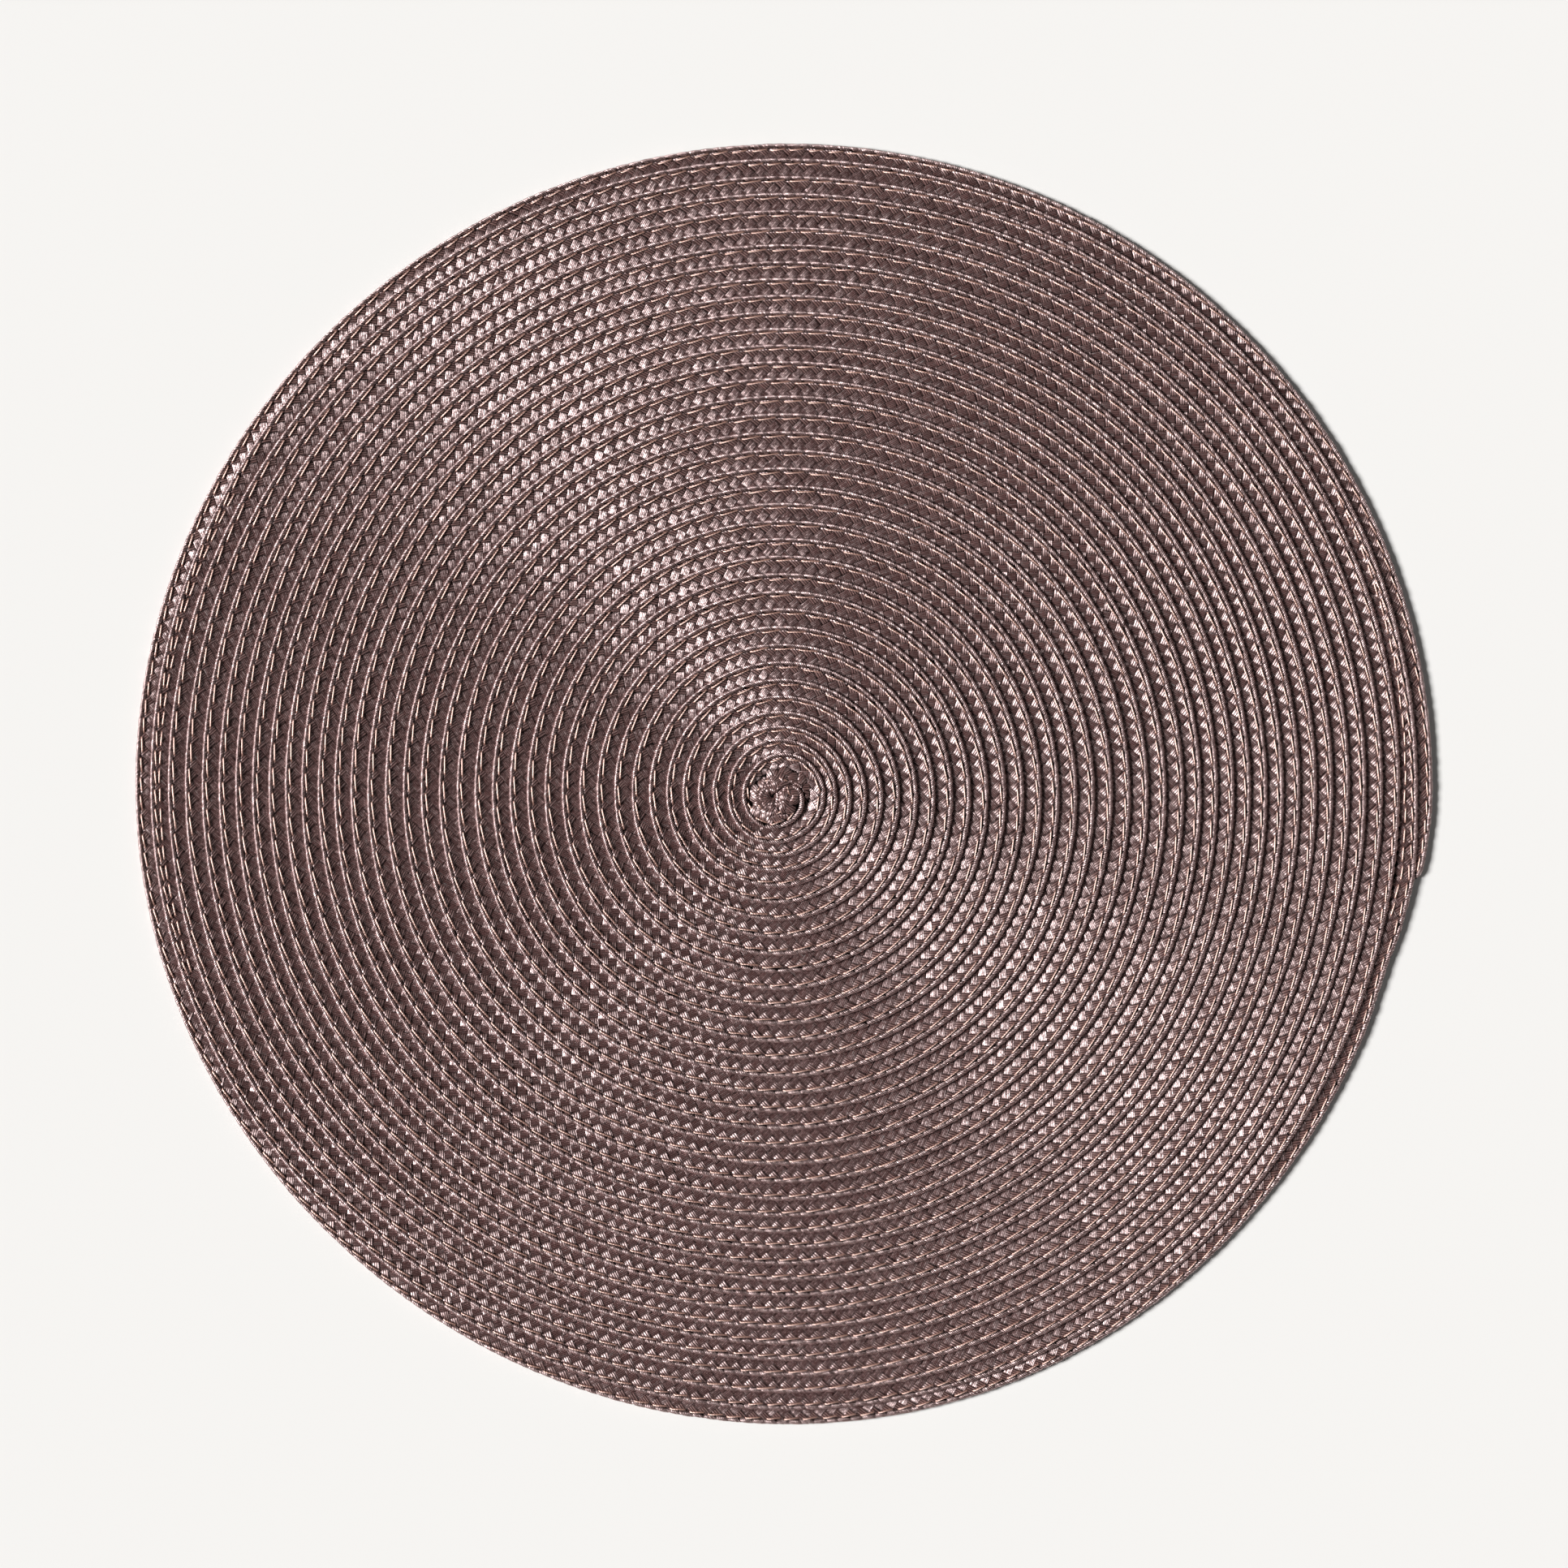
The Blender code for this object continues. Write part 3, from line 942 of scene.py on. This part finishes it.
def add_folds(material):
    """The gathers: rings of arched folds of the plait round the hole."""
    along = np.linspace(-1.0, 1.0, FOLD_POINTS[0])[:, None]
    across = np.linspace(-1.0, 1.0, FOLD_POINTS[1])[None]
    dome = FOLD_SWELL * (1.0 - along ** 2 - FOLD_SIDES * across ** 2)
    points = []
    for number, middle in enumerate(FOLD_DISTANCES):
        spacing = math.tau / round(math.tau * (middle + FOLD_REACH / 2.0) / FOLD_SPACING)
        angle = np.arange(spacing / 2.0, math.tau, spacing)
        angle = angle + rng.normal(0.0, FOLD_SHIFT * spacing, len(angle))
        angle = angle + np.interp(middle, GAP_DISTANCES, GAP_ANGLES)
        angle = angle[gathers_end(angle)[0] > middle + FOLD_OUT][:, None, None]
        count = len(angle)
        distance = middle + scatter(count, FOLD_OUTWARD)
        distance = distance + FOLD_REACH * (1.0 + scatter(count, FOLD_LONGER)) * along
        distance = np.maximum(distance, FOLD_INNERMOST)
        width = FOLD_WIDTH * spacing * (1.0 + scatter(count, FOLD_WIDER)) * across
        lean = FOLD_LEAN * (-1.0) ** number + scatter(count, FOLD_LEANING)
        lift = dome + scatter(count, FOLD_ROLL) * across + scatter(count, FOLD_LIFT)
        points.append(on_gathers(angle + width + lean * along / distance, distance, lift))
    points = np.concatenate(points)
    turned = scatter(len(points), FOLD_TURN)
    x = along * FOLD_REACH
    y = across * FOLD_ENDS / 2.0 * END_WIDTH
    with_yarn = x * np.cos(turned) - y * np.sin(turned)
    over_yarn = x * np.sin(turned) + y * np.cos(turned)
    return add_patches("plait_folds", points, with_yarn, over_yarn, material)


# -------- the sewing

def stitch_starts():
    """Where each stitch comes up, along the tape."""
    starts = [np.interp(STITCH_TURNS[0], TURNS, RUNS)]
    while starts[-1] < TAPE_LENGTH - STITCH_PITCHES[-1]:
        turn = np.interp(starts[-1], RUNS, TURNS)
        starts.append(starts[-1] + np.interp(turn, STITCH_TURNS, STITCH_PITCHES))
    return np.array(starts)


STITCH_STARTS = stitch_starts()
GAP_SHARPNESS = 8


def between_stitches(run):
    """1 beside the gap between two stitches, and 0 beside their middles."""
    phase = np.interp(run, STITCH_STARTS, np.arange(len(STITCH_STARTS))) % 1.0
    return np.cos(math.pi * (phase + (1.0 - STITCH_SHARE) / 2.0)) ** GAP_SHARPNESS


DASH_PLACES = np.array([0.0, 0.03, 0.12, 0.88, 0.97, 1.0])
DASH_LIFTS = np.array([-0.7, -0.2, 0.0, 0.0, -0.2, -0.7])
THREAD_SIDES = 4
WANDERS = ((0.13, 47.0, 0.0), (0.10, 131.0, 2.0))  # (size, run for a radian, start)
# How unlike each other the stitches are.
STITCH_LONGER = 0.15
STITCH_ALONG = 0.12
STITCH_SIDEWAYS = 0.06
EXTRA_ALONG = 0.15
EXTRA_SIDEWAYS = 0.08

# Extra lines of stitches: (first turn, last turn, inward at the first, and at the last).
EXTRA_SEAMS = (
    (36.13, 36.26, 3.1, 2.6),
    (36.60, 36.715, 2.5, 4.3),
)
# A ring of stitches on the gathers, in shares of the way out from the hole and of the way round.
ROSETTE_STITCHES = 6
ROSETTE_OUT = 0.62
ROSETTE_OUT_UNEVEN = 0.03
ROSETTE_START = 0.02
ROSETTE_END = 0.9
ROSETTE_START_UNEVEN = 0.006
ROSETTE_SHARE = 0.07
ROSETTE_STITCH = 3.0  # its length in the strand map
ROSETTE_LIFT = 0.3


def over_tape(run, inward, lift):
    """Points straight above the tape's surface, where thread bridges the crease."""
    turn = np.interp(run, RUNS, TURNS)
    height = height_at(inward)
    height = np.where(inward < SLOPE_START, np.maximum(height, THREAD_BED), height)
    return to_world(turn, edge_radius(turn) - inward, tape_height(inward, turn, height) + lift)


def dashes(middles, length):
    """Tubes of thread round rows of points, with their strand map."""
    ahead = np.gradient(middles, axis=1)
    side = np.stack([ahead[..., 1], -ahead[..., 0], 0.0 * ahead[..., 0]], axis=-1)
    side /= np.linalg.norm(side, axis=-1, keepdims=True)
    turned = (np.arange(THREAD_SIDES) + 0.5) / THREAD_SIDES * math.tau
    up = np.array([0.0, 0.0, 1.0])
    ring = side[:, :, None] * np.cos(turned)[:, None] + up * np.sin(turned)[:, None]
    points = middles[:, :, None] + THREAD_RADIUS * MM * ring
    along = length[:, None, None] * DASH_PLACES[:, None] + rng.random((len(length), 1, 1))
    return points, np.stack(np.broadcast_arrays(along, THREAD_RADIUS * turned), axis=-1)


def seam(start, length, inward):
    """Stitches that start at the given runs, and how far inside the edge they lie."""
    run = start[:, None] + length[:, None] * DASH_PLACES
    return dashes(over_tape(run, inward, THREAD_LIFT + DASH_LIFTS), length)


def main_seam():
    """The line of long running stitches along the ridge's inner side."""
    start = STITCH_STARTS[:-1]
    count = len(start)
    length = np.diff(STITCH_STARTS) * STITCH_SHARE + rng.normal(0.0, STITCH_LONGER, count)
    start = start + rng.normal(0.0, STITCH_ALONG, count)
    shift = rng.normal(0.0, STITCH_SIDEWAYS, (count, 1))
    for size, radian, begin in WANDERS:
        shift = shift + size * np.sin(start[:, None] / radian + begin)
    inward = STITCH_START_INWARD + (STITCH_END_INWARD - STITCH_START_INWARD) * DASH_PLACES
    return seam(start, length, inward + shift)


def extra_seam(first_turn, last_turn, first_inward, last_inward):
    """A line of shorter stitches that crosses the tape slowly."""
    first, last = np.interp((first_turn, last_turn), TURNS, RUNS)
    start = np.arange(first, last - STITCH_PITCHES[-1], STITCH_PITCHES[-1])
    start = start + rng.normal(0.0, EXTRA_ALONG, len(start))
    length = np.full(len(start), STITCH_PITCHES[-1] * STITCH_SHARE)
    share = (start[:, None] + length[:, None] * DASH_PLACES - first) / (last - first)
    inward = first_inward + (last_inward - first_inward) * share
    return seam(start, length, inward + rng.normal(0.0, EXTRA_SIDEWAYS, (len(start), 1)))


def rosette_seam():
    """The ring of stitches that holds the gathers."""
    start = np.linspace(ROSETTE_START, ROSETTE_END, ROSETTE_STITCHES)
    start = start + rng.normal(0.0, ROSETTE_START_UNEVEN, ROSETTE_STITCHES)
    share = start[:, None] + ROSETTE_SHARE * DASH_PLACES
    uneven = rng.normal(0.0, ROSETTE_OUT_UNEVEN, (ROSETTE_STITCHES, 1))
    angle, distance = gathers_grid(share, ROSETTE_OUT + uneven + 0.0 * share)
    length = np.full(ROSETTE_STITCHES, ROSETTE_STITCH)
    return dashes(on_gathers(angle, distance, ROSETTE_LIFT + DASH_LIFTS), length)


def add_stitches(material):
    """All the sewing thread, as one mesh of short tubes."""
    parts = [main_seam()]
    for row in EXTRA_SEAMS:
        parts.append(extra_seam(*row))
    parts.append(rosette_seam())
    points = np.concatenate([part[0] for part in parts])
    strands = np.concatenate([part[1] for part in parts])
    faces = grid_faces(len(DASH_PLACES), THREAD_SIDES, closed=True)
    faces = repeated(faces, len(points), len(DASH_PLACES) * THREAD_SIDES)
    return add_piece("stitches", points, faces, material, strands)


# -------- floor, light and camera

FLOOR_SIZE = 6.0  # metres
FLOOR_COLOUR = (0.62, 0.61, 0.595, 1.0)


def add_floor():
    bpy.ops.mesh.primitive_plane_add(size=FLOOR_SIZE, location=(0.0, 0.0, 0.0))
    floor = bpy.context.object
    floor.name = "floor"
    n = Nodes("floor")
    n.set(Base_Color=FLOOR_COLOUR, Roughness=0.8, Specular_IOR_Level=0.0)
    floor.data.materials.append(n.material)


# Lamps far off: strength, spread, and how far each stands from straight above, towards +X.
KEY_LAMP = (7.0, math.radians(20.0), -math.radians(52.0))
SIDE_LAMP = (0.35, math.radians(60.0), math.radians(50.0))
SKY_COLOUR = (1.0, 0.99, 0.98, 1.0)
FILL_STRENGTH = 0.05
BACKDROP_STRENGTH = 0.8  # of what shows beyond the floor, which lights nothing


def add_lamp(name, strength, spread, tilt):
    lamp = bpy.data.lights.new(name, "SUN")
    lamp.energy = strength
    lamp.angle = spread
    holder = bpy.data.objects.new(name, lamp)
    holder.rotation_euler = (0.0, tilt, 0.0)
    bpy.context.scene.collection.objects.link(holder)


def add_sky():
    """Weak even light from all round, and a paler backdrop that only shows."""
    world = bpy.data.worlds.new("studio")
    world.use_nodes = True
    nodes = world.node_tree.nodes
    seen = nodes.new("ShaderNodeLightPath").outputs["Is Camera Ray"]
    strength = nodes.new("ShaderNodeMapRange")
    strength.inputs["To Min"].default_value = FILL_STRENGTH
    strength.inputs["To Max"].default_value = BACKDROP_STRENGTH
    sky = nodes["Background"]
    sky.inputs["Color"].default_value = SKY_COLOUR
    world.node_tree.links.new(seen, strength.inputs["Value"])
    world.node_tree.links.new(strength.outputs["Result"], sky.inputs["Strength"])
    bpy.context.scene.world = world


VIEW_WIDTH = 0.460  # metres
CAMERA_HEIGHT = 1.6
SENSOR_WIDTH = 36.0


def add_camera():
    """The photograph's view, from straight above."""
    lens = bpy.data.cameras.new("camera")
    lens.sensor_fit = "HORIZONTAL"
    lens.sensor_width = SENSOR_WIDTH
    lens.lens = SENSOR_WIDTH * CAMERA_HEIGHT / VIEW_WIDTH
    camera = bpy.data.objects.new("camera", lens)
    camera.location = (0.0, 0.0, CAMERA_HEIGHT)
    bpy.context.scene.collection.objects.link(camera)
    bpy.context.scene.camera = camera
    bpy.context.scene.view_settings.view_transform = "Standard"


# -------- the whole

def add_mat():
    """The whole mat: the tape as a sheet, and all that lies on it."""
    yarn = yarn_material("braid_yarn", YARN_PAINTED_SHADE, YARN_BODY, YARN_PALE)
    shoulder = shoulder_material()
    # The core sheet shows only in the plait's gaps; its darker copy of the yarn's colour is painted
    # shade.
    shaded_core = yarn_material("braid_painted_shade_core", YARN_PAINTED_SHADE, YARN_PAINTED_SHADE, YARN_BODY)
    edge = edge_material()
    tape = add_tape(shaded_core)
    # The gathers get the paler copy of the yarn's colour: painted light.
    gathers = yarn_material("braid_gathers", YARN_PAINTED_SHADE, LIT_YARN_BODY, LIT_YARN_PALE, gloss=0.7)
    pieces = [add_stitches(thread_material()), add_rosette(gathers), add_folds(gathers)]
    for number, band in enumerate(BANDS, start=1):
        first = FIRST_TURN if number == 1 else band[0]
        pieces.append(add_wraps((first, band[1]), number, edge))
        for row in ROWS:
            material = shoulder if row.name == "shoulder" else yarn
            pieces.append(add_crossings(row, band, number, material))


add_camera()
add_lamp("key", *KEY_LAMP)
add_lamp("side", *SIDE_LAMP)
add_sky()
add_floor()
add_mat()
